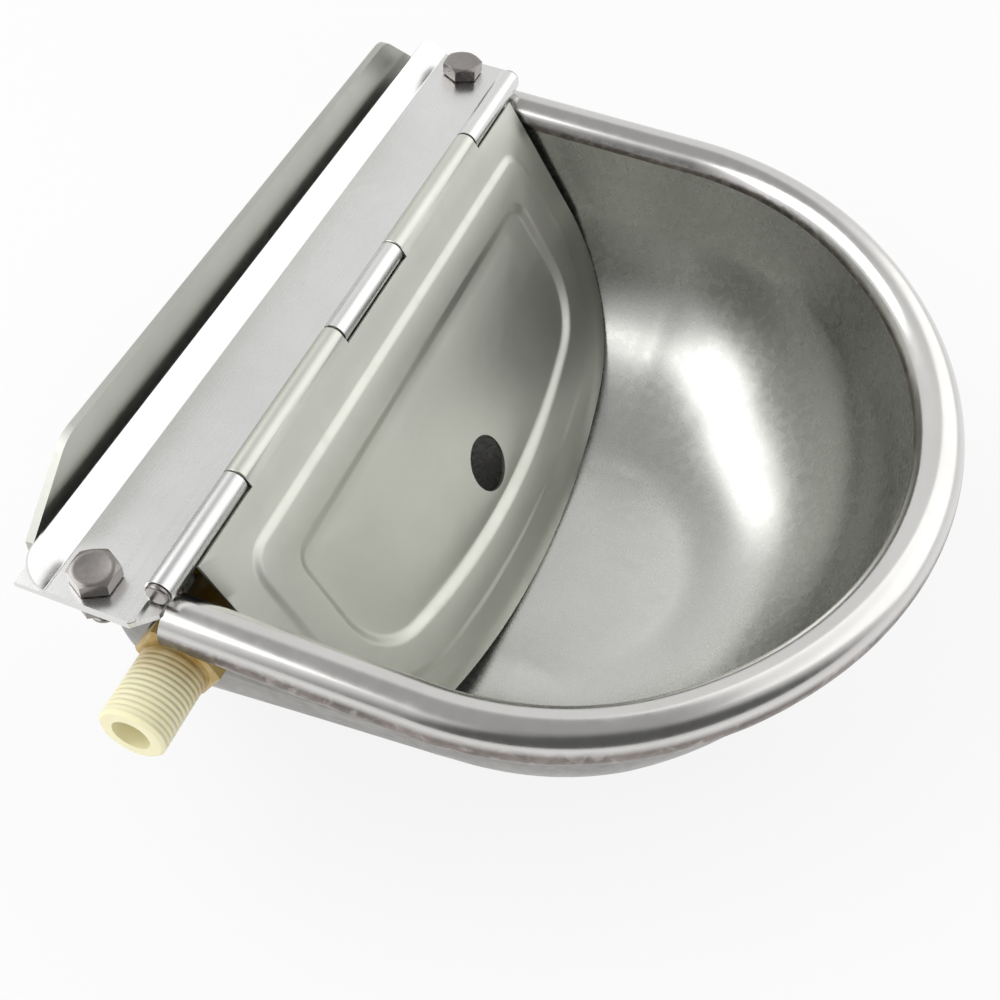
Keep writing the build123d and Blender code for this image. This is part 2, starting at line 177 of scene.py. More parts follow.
def steel_parts(graph, tint, dark, roughness, brush, slope, brush_depth, marks):
    """Colour, roughness and normal of satin sheet, for a material to alter further."""
    grain = graph.noise(graph.stretched(brush, (slope, 0, 0)), 1.0, 3.0, 0.6)
    cloud = graph.noise(graph.coords, 26.0, 4.0, 0.6)
    smudge = graph.span(graph.noise(graph.coords, 48.0, 5.0, 0.65, 0.8), 0.54, 0.74)
    fine = scratches(graph, ((slope, 0, 24), (slope, 0, -38), (slope, 0, 71)), 1300.0, 60.0, 0.735)
    tone = graph.math("ADD", graph.span(cloud, 0.3, 0.7, 0.05, 0.8), graph.span(grain, 0.3, 0.7, -0.06, 0.2))
    colour = graph.mix(tone, dark, tint)
    colour = graph.mix(graph.math("MULTIPLY", smudge, 0.35), colour, dark)
    rough = graph.math("ADD", graph.span(grain, 0.3, 0.7, roughness - 0.03, roughness + 0.03),
                       graph.math("MULTIPLY", smudge, 0.06))
    normal = graph.bump(grain, brush_depth)
    normal = graph.bump(graph.math("MULTIPLY", fine, -marks), scratch_depth, normal)
    return colour, rough, normal


# ---------------------------------------------------------------- materials
leaf_steel = steel(
    "plate_steel_look", (0.80, 0.80, 0.795), (0.72, 0.72, 0.71),
    roughness=0.28, brush=(30.0, 1600.0, 1600.0), slope=0.0, brush_depth=0.0000012,
)
# Back plate: the same satin sheet as the leaf, with its colour painted darker as painted shade.
shaded_back_steel = steel(
    "back_steel_painted_shade_look", (0.52, 0.53, 0.485), (0.45, 0.46, 0.42),
    roughness=0.34, brush=(30.0, 1500.0, 1500.0), slope=0.0, brush_depth=0.0000012,
)
cover_steel = steel(
    "cover_steel_look", (0.70, 0.71, 0.645), (0.63, 0.64, 0.58),
    roughness=0.41, brush=(50.0, 1500.0, 1500.0), slope=56.0, brush_depth=0.0000015,
)
bolt_steel = steel(
    "bolt_steel_look", (0.34, 0.325, 0.315), (0.24, 0.215, 0.205),
    roughness=0.24, brush=(500.0, 500.0, 500.0), slope=0.0, brush_depth=0.000001,
)
bowl_middle, lean_down = 0.11, -0.03  # metres from the wall, and how far the mask of the outer face's painted shade leans down
tint_shade_from, tint_shade_to = -0.0042, -0.0068  # heights in metres between which the rim turns brownish and dark: a mottled tint with painted shade under the curl
amber_shade_from, amber_shade_to = -0.145, -0.127  # distances along the inlet in metres where the nylon is painted in warm brown shade, under the ledge by the bowl


def bowl_look():
    """Drawn sheet: satin within, and duller on its outer face, where painted shade darkens its colour."""
    graph = Graph("bowl_steel_painted_shade_look", (0.61, 0.61, 0.59), 0.36, 1.0)
    light, dark = (0.635, 0.635, 0.615), (0.565, 0.565, 0.54)
    brush = (300.0, 300.0, 300.0)
    colour, rough, normal = steel_parts(graph, light, dark, 0.27, brush, 0.0, 0.0000004, drawn_marks)
    coords = graph.node("ShaderNodeTexCoord")
    from_middle = graph.node("ShaderNodeVectorMath", operation="ADD")
    graph.feed(from_middle.inputs[0], coords.outputs["Object"])
    from_middle.inputs[1].default_value = (0, bowl_middle, 0)
    level = graph.node("ShaderNodeVectorMath", operation="MULTIPLY_ADD")
    graph.feed(level.inputs[0], from_middle.outputs[0])
    level.inputs[1].default_value = (1, 1, 0)
    level.inputs[2].default_value = (0, 0, lean_down)
    facing = graph.node("ShaderNodeVectorMath", operation="DOT_PRODUCT")
    graph.feed(facing.inputs[0], coords.outputs["Normal"])
    graph.feed(facing.inputs[1], level.outputs[0])
    shaded_outside = graph.span(facing.outputs["Value"], -0.008, 0.008)
    mottle = graph.noise(graph.coords, 75.0, 4.0, 0.6)
    # Painted shade: the outer face is painted a mottled dark grey for the shadowed floor and dark room that
    # it reflects.
    dull = graph.mix(graph.span(mottle, 0.35, 0.65), (0.29, 0.285, 0.268), (0.21, 0.20, 0.188))
    colour = graph.mix(shaded_outside, colour, dull)
    return graph.finish(colour, graph.math("ADD", rough, graph.math("MULTIPLY", shaded_outside, 0.05)), normal)


def rim_look():
    """Rolled edge: smooth on top, with a puckered band low on its outer side, painted brownish and dark: a
    mottled tint with painted shade.
    """
    graph = Graph("rim_steel_painted_shade_look", (0.61, 0.605, 0.59), 0.22, 1.0)
    light, dark = (0.70, 0.695, 0.68), (0.64, 0.63, 0.615)
    brush = (260.0, 260.0, 260.0)
    colour, rough, normal = steel_parts(graph, light, dark, 0.19, brush, 0.0, 0.0000008, drawn_marks)
    band = graph.span(graph.axis("Z"), tint_shade_from, tint_shade_to, 0.0, 1.0, True)
    mottle = graph.noise(graph.coords, 85.0, 4.0, 0.6, 0.5)
    fleck = graph.span(graph.noise(graph.coords, 230.0, 3.0, 0.6, 0.4), 0.52, 0.66)
    # Partly painted shade: the band under the curl is painted dark brown with lighter flecks, for its shade
    # and the dark floor it reflects as well as its mottled tint.
    tint_and_shade = graph.mix(graph.span(mottle, 0.38, 0.62), (0.27, 0.235, 0.22), (0.17, 0.15, 0.14))
    tint_and_shade = graph.mix(graph.math("MULTIPLY", fleck, 0.5), tint_and_shade, (0.52, 0.475, 0.455))
    colour = graph.mix(band, colour, tint_and_shade)
    rough = graph.math("ADD", rough, graph.math("MULTIPLY", band, 0.14))
    rucked = graph.math("MULTIPLY", graph.noise(graph.coords, 300.0, 2.0), band)
    return graph.finish(colour, rough, graph.bump(rucked, 0.00035, normal))


def nylon_warm_shade_look():
    """Off-white nylon, painted in warm brown shade towards the bowl under the ledge, slightly translucent,
    with a moulded skin.
    """
    graph = Graph("nylon_warm_shade_look", (0.80, 0.75, 0.47), 0.42)
    # Painted shade: near the bowl the nylon is painted a patchy warm brown for the shadow under the ledge and
    # the glow through it.
    shade_toward_bowl = graph.span(graph.axis("X"), amber_shade_from, amber_shade_to, 0.0, 1.0, True)
    patchy = graph.noise(graph.coords, 160.0, 3.0)
    amber_shade = graph.math("MULTIPLY", shade_toward_bowl, graph.span(patchy, 0.3, 0.6, 0.7, 1.0))
    colour = graph.mix(amber_shade, (0.93, 0.87, 0.58), (0.46, 0.27, 0.03))
    skin = graph.noise(graph.coords, 1800.0, 2.0)
    graph.shader.inputs["Subsurface Weight"].default_value = 0.25
    graph.shader.inputs["Subsurface Radius"].default_value = (0.004, 0.003, 0.0012)
    rough = graph.span(skin, 0.3, 0.7, 0.36, 0.5)
    return graph.finish(colour, rough, graph.bump(skin, 0.00004))


def plastic_look(name, light, dark):
    """Moulded plastic with a fine skin and faint stains."""
    graph = Graph(name, light, 0.4)
    skin = graph.noise(graph.coords, 1500.0, 2.0)
    stain = graph.noise(graph.coords, 60.0, 4.0)
    colour = graph.mix(graph.span(stain, 0.4, 0.75), light, dark)
    return graph.finish(colour, graph.span(skin, 0.3, 0.7, 0.33, 0.5), graph.bump(skin, 0.00003))


def rubber_look():
    """Matt black rubber, a little dusty."""
    graph = Graph("black_rubber_look", (0.02, 0.02, 0.02), 0.7)
    skin = graph.noise(graph.coords, 2500.0, 3.0)
    dust = graph.noise(graph.coords, 200.0, 4.0)
    colour = graph.mix(graph.span(dust, 0.45, 0.75), (0.02, 0.02, 0.02), (0.06, 0.058, 0.055))
    return graph.finish(colour, graph.span(skin, 0.3, 0.7, 0.6, 0.82), graph.bump(skin, 0.00003))


def brass_look():
    """Brass with turning rings and dull patches."""
    graph = Graph("brass_look", (0.75, 0.55, 0.25), 0.28, 1.0)
    rings = graph.noise(graph.stretched((2400.0, 200.0, 200.0)), 1.0, 2.0)
    dull = graph.noise(graph.coords, 120.0, 4.0)
    colour = graph.mix(graph.span(dull, 0.4, 0.7), (0.78, 0.58, 0.27), (0.55, 0.38, 0.16))
    return graph.finish(colour, graph.span(rings, 0.3, 0.7, 0.22, 0.36), graph.bump(rings, 0.00002))


looks = {
    "rim_steel": rim_look(),
    "bowl_steel": bowl_look(),
    "plate_steel": leaf_steel,
    "cover_steel": cover_steel,
    "bolt_steel": bolt_steel,
    "nylon": nylon_warm_shade_look(),
    "float_plastic": plastic_look("float_plastic_look", (0.80, 0.79, 0.74), (0.70, 0.67, 0.58)),
    "black_rubber": rubber_look(),
    "brass": brass_look(),
}
slot_of = {part["node"]: part["material_slot"] for part in frame["record"]["subparts"]}
for name, node in nodes.items():
    node.data.materials.clear()
    node.data.materials.append(shaded_back_steel if name == "back_plate" else looks[slot_of[name]])


# ---------------------------------------------------------------- sizes in mm, as in the CAD
rim_radius, sheet, rim_curl = 7.9, 1.2, 325
wall_half_width, side_length, front_reach = 122.2, 118.0, 106.2
rim_rear = -44.0
rim_step, outer_steps, inner_steps = 1.5, 44, 22  # along the rim, and round its two skins
oval_sum = wall_half_width + 2 * front_reach
side_radius = front_reach**2 / wall_half_width
side_centre = wall_half_width - side_radius
front_centre = (wall_half_width - front_reach) * oval_sum / (2 * front_reach)
front_radius = front_reach + front_centre
arc_turn = atan2(wall_half_width * oval_sum, 2 * front_reach * (wall_half_width + front_reach))
floor_radius = 61.0
z_of_turn = -98.0 + sheet + floor_radius
wider_steps, wider_over = ((11, 55), (5, 100)), 25  # growths of the floor radius, and where each sets in
hinge_y, hinge_z, knuckle_radius, cover_sheet = -42.2, 4.5, 4.2, 1.25
cover_slope = radians(56)
cover_outline = (118.8, 3.4, 122.2, 29.2, 60.0, 0.0)
panel_outline = (105.6, 15.6, 107.0, 18.6, 50.0, 9.0)
dish_outline = (90.8, 29.3, 93.3, 16.4, 28.0, 6.0)
finger_hole, finger_hole_drop = 20.0, 77.5
knuckle_span = (22.7, 87.4)
band_height, dish_height, dish_dome = 0.8, -1.1, 0.9
dish_crease, band_crease, crease_steps, dish_steps = 2.4, 1.9, 8, 11  # half widths of the creases, and rows
cover_columns, edge_round = 420, 0.15
knuckle_turn, knuckle_steps, knuckle_ease = 312, 40, 0.25
knuckle_lap = (-3.6, -1.5)  # where the knuckle's sheet lies on the cover, measured down from the hinge
bolt_x, bolt_y, bolt_base, bolt_flats, bolt_head, bolt_length = 132.0, -23.0, 1.55, 13.0, 5.3, 16.0
bolt_shank, bolt_core, bolt_thread_depth, bolt_pitch, bolt_columns = 3.95, 3.2, 0.68, 1.25, 72
chamfer_slope = 0.52
valve_y, valve_z, inlet_radius = -43.0, -30.0, 10.48
inlet_thread, inlet_thread_depth, inlet_pitch = (-155.5, -133.4), 0.22, 1.814
pivot = (-87.4, -43.0, -39.0)
float_sag = radians(17)
rod_radius, rod_start, rod_end = 2.5, 8.0, 127.0
rod_thread_depth, rod_pitch, rod_columns, rod_chamfer = 0.42, 0.8, 32, 0.5
float_start, float_length, float_radius = 54.0, 66.0, 16.0
seam_columns = 96
closing_radius = 0.02  # of the smallest ring, which closes a round end


# ---------------------------------------------------------------- mesh helpers
def piece_of(name, vertices, faces, look, body, replaced=(), sharp=35):
    """Make a piece of millimetre points and faces, shaded smooth except at sharp edges."""
    mesh = bpy.data.meshes.new(name)
    mesh.from_pydata([[value * MM for value in point] for point in vertices], [], faces)
    build = bmesh.new()
    build.from_mesh(mesh)
    bmesh.ops.remove_doubles(build, verts=build.verts, dist=1e-6)
    bmesh.ops.recalc_face_normals(build, faces=build.faces)
    build.to_mesh(mesh)
    build.free()
    return place(name, mesh, look, body, replaced, sharp)


def place(name, mesh, look, body, replaced=(), sharp=35):
    """Put a mesh in the scene as a piece that rides a body."""
    mesh.polygons.foreach_set("use_smooth", [True] * len(mesh.polygons))
    mesh.set_sharp_from_angle(angle=radians(sharp))
    mesh.materials.clear()
    mesh.materials.append(looks[look])
    piece = bpy.data.objects.new(name, mesh)
    bpy.context.scene.collection.objects.link(piece)
    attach(piece, body)
    if replaced:
        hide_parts(*replaced)
    return piece


def skin(rings, first=0):
    """Quads between successive closed rings of equal length."""
    count = len(rings[0])
    faces = []
    for row in range(len(rings) - 1):
        for column in range(count):
            after = (column + 1) % count
            low, high = first + row * count, first + (row + 1) * count
            faces.append((low + column, low + after, high + after, high + column))
    return [point for ring in rings for point in ring], faces


def smooth(value):
    """An ease from 0 to 1, held at both ends."""
    value = min(1.0, max(0.0, value))
    return value * value * (3 - 2 * value)


def frame_along(origin, direction):
    """A function that turns radius, angle and distance along an axis into a point."""
    along = Vector(direction).normalized()
    side = along.orthogonal().normalized()
    up = along.cross(side)
    start = Vector(origin)

    def point(radius, angle, distance):
        return start + along * distance + side * (radius * cos(angle)) + up * (radius * sin(angle))

    return point


def circle(point, radius, distance, columns):
    """A ring of points round an axis."""
    return [point(radius, 2 * pi * index / columns, distance) for index in range(columns)]


def thread_rings(point, start, end, major, depth, pitch, columns=48, rows=8):
    """Rings of a helical V thread that fades out at both ends."""
    count = max(2, round((end - start) / pitch * rows))
    rings = []
    for row in range(count + 1):
        along = start + (end - start) * row / count
        fade = smooth((along - start) / pitch) * smooth((end - along) / pitch)
        ring = []
        for column in range(columns):
            phase = (along / pitch - column / columns) % 1
            valley = min(1.0, max(0.0, 1.25 - abs(2 * phase - 1) * 1.6))
            ring.append(point(major - depth * fade * valley, 2 * pi * column / columns, along))
        rings.append(ring)
    return rings


# ---------------------------------------------------------------- rolled rim
def rim_path(step):
    """Points and outward normals along the wall's top edge, left rear round to right rear."""
    path = []
    run = -side_length - rim_rear
    for index in range(round(-run / step)):
        path.append((-wall_half_width, rim_rear + run * index * step / -run, -1.0, 0.0))
    arcs = (
        (-side_centre, -side_length, side_radius, pi, arc_turn),
        (0.0, -side_length + front_centre, front_radius, pi + arc_turn, pi - 2 * arc_turn),
        (side_centre, -side_length, side_radius, 2 * pi - arc_turn, arc_turn),
    )
    for centre_x, centre_y, radius, start, sweep in arcs:
        pieces = round((radius + rim_radius) * sweep / step)
        for index in range(pieces):
            angle = start + sweep * index / pieces
            normal = (cos(angle), sin(angle))
            path.append((centre_x + radius * normal[0], centre_y + radius * normal[1], *normal))
    for index in range(round(-run / step) + 1):
        path.append((wall_half_width, -side_length + index * step, 1.0, 0.0))
    path[-1] = (wall_half_width, rim_rear, 1.0, 0.0)
    return path


def wrinkle(place_along, angle):
    """Depth of the small puckers that rolling leaves on the rim's outer lower side."""
    band = smooth((angle - 185) / 30) * smooth((320 - angle) / 40)
    pucker = noise.noise(Vector((place_along * 0.16, angle * 0.012, 3.1)))
    dent = noise.noise(Vector((place_along * 0.045, angle * 0.03, 9.7)))
    fold = noise.noise(Vector((place_along * 0.5, angle * 0.02, 5.3)))
    return band * (0.42 * max(0.0, pucker) + 0.3 * max(0.0, dent) + 0.16 * max(0.0, fold))


def on_curl(centre, inward, radius, angle):
    """A point of the rim's section, at degrees round its curl."""
    turn = radians(angle)
    return centre + inward * (radius * cos(turn)) + Vector((0, 0, radius * sin(turn)))


def rolled_rim():
    """The curled sheet, with puckers where rolling shortened it, and closed at both ends."""
    outer_turns = [rim_curl * index / outer_steps for index in range(outer_steps + 1)]
    inner_turns = [rim_curl * index / inner_steps for index in range(inner_steps, -1, -1)]
    rings = []
    for count, (x, y, across_x, across_y) in enumerate(rim_path(rim_step)):
        centre = Vector((x + rim_radius * across_x, y + rim_radius * across_y, -rim_radius))
        inward = Vector((-across_x, -across_y, 0))
        ring = []
        for angle in outer_turns:
            ring.append(on_curl(centre, inward, rim_radius - wrinkle(count * rim_step, angle), angle))
        for angle in inner_turns:
            ring.append(on_curl(centre, inward, rim_radius - sheet, angle))
        rings.append(ring)
    points, faces = skin(rings)
    last = len(points) - len(rings[0])
    for low in (0, last):
        for index in range(outer_steps):
            inner_a = outer_steps + 1 + round((outer_steps - index) * inner_steps / outer_steps)
            inner_b = outer_steps + 1 + round((outer_steps - 1 - index) * inner_steps / outer_steps)
            corner = [low + index, low + index + 1, low + inner_b, low + inner_a]
            faces.append(tuple(dict.fromkeys(corner)))
    piece_of("rim_rolled", points, faces, "rim_steel", "bowl", ("bowl_rim",), 60)


# ---------------------------------------------------------------- drawn bowl
def inset(x, y):
    """How far a point lies inside the wall line, and the line's outward normal there."""
    front_y = front_centre - side_length
    side = 1 if x > 0 else -1
    if y > -side_length:
        return wall_half_width - abs(x), (side, 0.0)
    across, along = abs(x) - side_centre, y + side_length
    if atan2(-along, across) < arc_turn:
        distance = (across**2 + along**2) ** 0.5
        return side_radius - distance, (side * across / distance, along / distance)
    distance = (x**2 + (y - front_y) ** 2) ** 0.5
    return front_radius - distance, (x / distance, (y - front_y) / distance)


def lies_level(face, level):
    return all(abs(vertex.co.z / MM - level) < 0.01 for vertex in face.verts)


def wider_by(y, normal):
    """How much the floor radius grows towards the sides, away from the wall."""
    grown = sum(growth * smooth((-y - start) / wider_over) for growth, start in wider_steps)
    return abs(normal[0]) ** 2 * grown


def drawn_bowl():
    """The bowl with its sides rounded further than the solid's one floor radius, as drawing leaves them."""
    mesh = nodes["bowl"].data.copy()
    build = bmesh.new()
    build.from_mesh(mesh)
    bmesh.ops.remove_doubles(build, verts=build.verts, dist=2e-6)
    for level in (z_of_turn - floor_radius, z_of_turn - floor_radius - sheet):
        flat = [face for face in build.faces if lies_level(face, level)]
        bmesh.ops.dissolve_faces(build, faces=flat)
    for vertex in build.verts:
        x, y, z = vertex.co / MM
        depth, normal = inset(x, y)
        from_turn = Vector((max(0.0, floor_radius - depth), max(0.0, z_of_turn - z))).length
        outer = from_turn > floor_radius + sheet / 2
        radius = floor_radius + (sheet if outer else 0.0)
        low = z_of_turn - radius
        extra = wider_by(y, normal)
        if extra < 0.01 or z > z_of_turn + 0.01 or depth > radius + 0.5:
            continue
        angle = asin(min(1.0, max(0.0, (z_of_turn - z) / radius)))
        wider = radius + extra
        last = asin(min(1.0, (low + wider - z_of_turn) / wider))
        new_angle = last + (pi / 2 - last) * angle / (pi / 2)
        new_depth = wider * (1 - cos(new_angle)) - (sheet if outer else 0.0)
        new_z = low + wider * (1 - sin(new_angle))
        shift = new_depth - depth
        vertex.co = Vector((x - normal[0] * shift, y - normal[1] * shift, new_z)) * MM
    bmesh.ops.recalc_face_normals(build, faces=build.faces)
    build.to_mesh(mesh)
    build.free()
    place("bowl_drawn", mesh, "bowl_steel", "bowl", ("bowl",), 30)


# ---------------------------------------------------------------- pressed cover
def shield(outline, grow=0.0):
    """The cover's D outline as a list of points, grown outwards by a distance."""
    half_width, top, bottom, rise, corner, top_corner = outline
    big = (half_width**2 + rise**2) / (2 * rise)
    centre_y = -bottom + big
    half_width, top = half_width + grow, top - grow
    corner, big = corner + grow, big + grow
    top_corner = max(0.0, top_corner + grow) if top_corner else 0.0
    fillet_x = half_width - corner
    fillet_y = centre_y - ((big - corner) ** 2 - fillet_x**2) ** 0.5
    meet = atan2(fillet_x, centre_y - fillet_y)
    right = []
    steps = 24
    for index in range(steps):
        angle = meet * index / steps
        right.append((big * sin(angle), centre_y - big * cos(angle)))
    for index in range(steps + 1):
        angle = meet + (pi / 2 - meet) * index / steps
        right.append((fillet_x + corner * sin(angle), fillet_y - corner * cos(angle)))
    for index in range(steps + 1):
        angle = pi / 2 * index / steps
        right.append((half_width - top_corner * (1 - cos(angle)), -top - top_corner * (1 - sin(angle))))
    return right + [(-x, y) for x, y in reversed(right[1:])]


def reach(outline, centre, angles):
    """Distances from a point to an outline along each angle."""
    found = []
    count = len(outline)
    for angle in angles:
        ray = (cos(angle), sin(angle))
        best = 0.0
        for index in range(count):
            after = outline[(index + 1) % count]
            ax, ay = outline[index][0] - centre[0], outline[index][1] - centre[1]
            bx, by = after[0] - centre[0], after[1] - centre[1]
            side_a = ray[0] * ay - ray[1] * ax
            side_b = ray[0] * by - ray[1] * bx
            if side_a * side_b <= 0 and side_a != side_b:
                share = side_a / (side_a - side_b)
                along = (ax + (bx - ax) * share) * ray[0] + (ay + (by - ay) * share) * ray[1]
                best = max(best, along)
        found.append(best)
    return found


def cover_point(across, down, lift):
    """A point of the cover: across it, down its slope, and out from its front skin."""
    out = knuckle_radius + lift
    return Vector((
        across,
        hinge_y - out * sin(cover_slope) + down * cos(cover_slope),
        hinge_z + out * cos(cover_slope) + down * sin(cover_slope),
    ))


def crease(outline, half_width, from_height, to_height, middle, angles):
    """Rows of a rounded step between two levels, along an outline."""
    rows = []
    for index in range(crease_steps + 1):
        grow = -half_width + 2 * half_width * index / crease_steps
        height = from_height + (to_height - from_height) * smooth(index / crease_steps)
        rows.append((reach(shield(outline, grow), middle, angles), height))
    return rows


def cover_profile(middle, angles):
    """Rows of distances from the finger hole's middle, each with its height, out to the cover's edge."""
    profile = []
    dish = reach(shield(dish_outline, -dish_crease), middle, angles)
    for index in range(dish_steps):
        share = index / dish_steps
        line = [finger_hole / 2 + (far - finger_hole / 2) * share for far in dish]
        profile.append((line, dish_height + dish_dome * (1 - share**2)))
    profile += crease(dish_outline, dish_crease, dish_height, band_height, middle, angles)
    profile += crease(panel_outline, band_crease, band_height, 0.0, middle, angles)
    edge = reach(shield(cover_outline), middle, angles)
    for share in (0.5, 0.97):
        profile.append(([near + (far - near) * share for near, far in zip(profile[-1][0], edge)], 0.0))
    profile.append((edge, -edge_round))
    return profile


def pressed_cover():
    """Sheet with a raised band round a shallow dish, as pressed, with rounded creases."""
    middle = (0.0, -finger_hole_drop)
    corners = [atan2(-cover_outline[1] - middle[1], side * cover_outline[0]) for side in (1, -1)]
    evenly = [2 * pi * index / cover_columns - pi for index in range(cover_columns)]
    angles = sorted(evenly + corners)
    profile = cover_profile(middle, angles)

    def level_ring(line, height):
        return [
            cover_point(middle[0] + away * cos(angle), middle[1] + away * sin(angle), height)
            for away, angle in zip(line, angles)
        ]

    rings = [level_ring(line, height) for line, height in profile]
    for line, height in reversed(profile):
        rounding = 2 * edge_round if height == -edge_round else 0.0
        rings.append(level_ring(line, height - cover_sheet + rounding))
    rings.append(rings[0])
    points, faces = skin(rings)
    for start, end in ((-knuckle_span[1], -knuckle_span[0]), knuckle_span):
        more, quads = rolled_knuckle(start, end, len(points))
        points, faces = points + more, faces + quads
    piece_of("cover_pressed", points, faces, "cover_steel", "cover", ("baffle",), 40)


def rolled_knuckle(start, end, first):
    """The cover's sheet carried up and rolled round the pin."""
    bore = knuckle_radius - cover_sheet
    outer = [(down, knuckle_radius) for down in knuckle_lap]
    inner = [(down, bore) for down in knuckle_lap]
    for index in range(knuckle_steps + 1):
        angle = radians(90 - knuckle_turn * index / knuckle_steps)
        outer.append((knuckle_radius * cos(angle), knuckle_radius * sin(angle)))
        inner.append((bore * cos(angle), bore * sin(angle)))
    loop = outer + inner[::-1]
    ease = knuckle_ease
    rings = []
    for across, pull in ((start, ease), (start + ease, 0.0), (end - ease, 0.0), (end, ease)):
        ring = []
        for index, (down, out) in enumerate(loop):
            if pull and len(knuckle_lap) <= index < len(outer):
                down, out = down * (1 - pull / knuckle_radius), out * (1 - pull / knuckle_radius)
            ring.append(cover_point(across, down, out - knuckle_radius))
        rings.append(ring)
    points, faces = skin(rings, first)
    count = len(loop)
    for low in (first, first + 3 * count):
        for index in range(len(outer) - 1):
            faces.append((low + index, low + index + 1, low + count - 2 - index, low + count - 1 - index))
    return points, faces


# ---------------------------------------------------------------- bolts, threads and valve
def hexagon(flats, angle, turned):
    """Distance from the middle to a hexagon's side at an angle."""
    return flats / 2 / cos(((angle - turned) % (pi / 3)) - pi / 6)


def matched(thread, centre, turned):
    """The thread's rings from the top down, each begun and wound like the head's rings."""

    def bearing(vertex):
        away = vertex - centre
        return atan2(away.y, away.x)

    first = bearing(thread[0][0])
    step = (bearing(thread[0][1]) - first + pi) % (2 * pi) - pi
    offset = round((first - turned) / (2 * pi) * bolt_columns) % bolt_columns
    backward = abs(step - 2 * pi / bolt_columns) > 0.01
    order = [(offset - index if backward else index - offset) % bolt_columns for index in range(bolt_columns)]
    return [[line[index] for index in order] for line in reversed(thread)]


def hex_bolt(node_name, side):
    """Bolt with a head chamfered round, a washer face and a rolled thread."""
    mesh = nodes[node_name].data
    axis = Vector((side * bolt_x, bolt_y)) * MM
    corner = max(mesh.vertices, key=lambda vertex: (Vector(vertex.co[:2]) - axis).length).co
    turned = atan2(corner[1] - axis[1], corner[0] - axis[0])
    angles = [turned + 2 * pi * index / bolt_columns for index in range(bolt_columns)]
    top = bolt_base + bolt_head
    flat = 0.46 * bolt_flats
    centre = Vector((side * bolt_x, bolt_y, 0))

    def ring(radius, height):
        return [centre + Vector((radius * cos(a), radius * sin(a), height)) for a in angles]

    def side_ring(level=None, ease=0.0):
        """A ring of the hexagon's sides, which follows the chamfer where no level is given."""
        made = []
        for a in angles:
            radius = hexagon(bolt_flats, a, turned) - ease
            height = top - max(0.0, radius - flat) * chamfer_slope if level is None else level
            made.append(centre + Vector((radius * cos(a), radius * sin(a), height)))
        return made

    rings = [ring(closing_radius, top - 0.22), ring(flat * 0.55, top - 0.2), ring(flat * 0.8, top - 0.06)]
    rings += [ring(flat - 0.15, top), ring(flat, top - 0.04)]
    rings += [side_ring(), side_ring(bolt_base + 0.7), side_ring(bolt_base + 0.4, 0.25)]
    rings += [ring(flat, bolt_base + 0.35), ring(flat, bolt_base), ring(bolt_shank, bolt_base)]
    point = frame_along(centre, (0, 0, 1))
    tip = bolt_base - bolt_length
    span = (tip + 0.6, bolt_base - 1.2)
    thread = thread_rings(point, *span, bolt_shank, bolt_thread_depth, bolt_pitch, bolt_columns)
    rings += matched(thread, centre, turned)
    rings += [ring(bolt_core, tip), ring(closing_radius, tip)]
    points, faces = skin(rings)
    name = "bolt_left_threaded" if side < 0 else "bolt_right_threaded"
    piece_of(name, points, faces, "bolt_steel", "bowl", (node_name,), 28)


def threaded_valve():
    """The valve body with its inlet's plain cylinder replaced by a pipe thread."""
    mesh = nodes["valve_body"].data.copy()
    build = bmesh.new()
    build.from_mesh(mesh)
    axis = Vector((0, valve_y, valve_z)) * MM
    low, high = inlet_thread[0] - 0.1, inlet_thread[1] + 0.1
    gone = []
    for face in build.faces:
        inside = all(
            low * MM <= vertex.co.x <= high * MM
            and abs((Vector((0, vertex.co.y, vertex.co.z)) - axis).length - inlet_radius * MM) < 0.05 * MM
            for vertex in face.verts
        )
        if inside and abs(face.normal.x) < 0.3:
            gone.append(face)
    bmesh.ops.delete(build, geom=gone, context="FACES_ONLY")
    point = frame_along((0, valve_y, valve_z), (1, 0, 0))
    rings = thread_rings(point, *inlet_thread, inlet_radius, inlet_thread_depth, inlet_pitch, 72, 10)
    points, faces = skin(rings)
    made = [build.verts.new(vertex * MM) for vertex in points]
    for face in faces:
        build.faces.new([made[index] for index in face])
    bmesh.ops.recalc_face_normals(build, faces=build.faces)
    build.to_mesh(mesh)
    build.free()
    place("valve_threaded", mesh, "nylon", "bowl", ("valve_body",), 30)


def threaded_rod():
    """The float's rod, threaded over its length."""
    direction = (cos(float_sag), 0, -sin(float_sag))
    point = frame_along(pivot, direction)
    rings = [circle(point, closing_radius, rod_start, rod_columns)]
    rings += thread_rings(
        point, rod_start, rod_end - 0.6, rod_radius, rod_thread_depth, rod_pitch, rod_columns, 6,
    )
    rings.append(circle(point, rod_radius - rod_chamfer, rod_end, rod_columns))
    rings.append(circle(point, closing_radius, rod_end, rod_columns))
    points, faces = skin(rings)
    piece_of("rod_threaded", points, faces, "brass", "float_arm", ("float_rod",), 50)


def moulding_seam():
    """Thin flash line round the float where its mould halves met."""
    direction = (cos(float_sag), 0, -sin(float_sag))
    point = frame_along(pivot, direction)
    middle = float_start + float_length / 2
    rings = []
    for along, raised in ((-0.5, -0.05), (-0.25, 0.14), (0.25, 0.14), (0.5, -0.05)):
        rings.append(circle(point, float_radius + raised, middle + along, seam_columns))
    points, faces = skin(rings)
    piece_of("float_seam", points, faces, "float_plastic", "float_arm")


drawn_bowl()
rolled_rim()
pressed_cover()
hex_bolt("cover_bolt_left", -1)
hex_bolt("cover_bolt_right", 1)
threaded_valve()
threaded_rod()
moulding_seam()


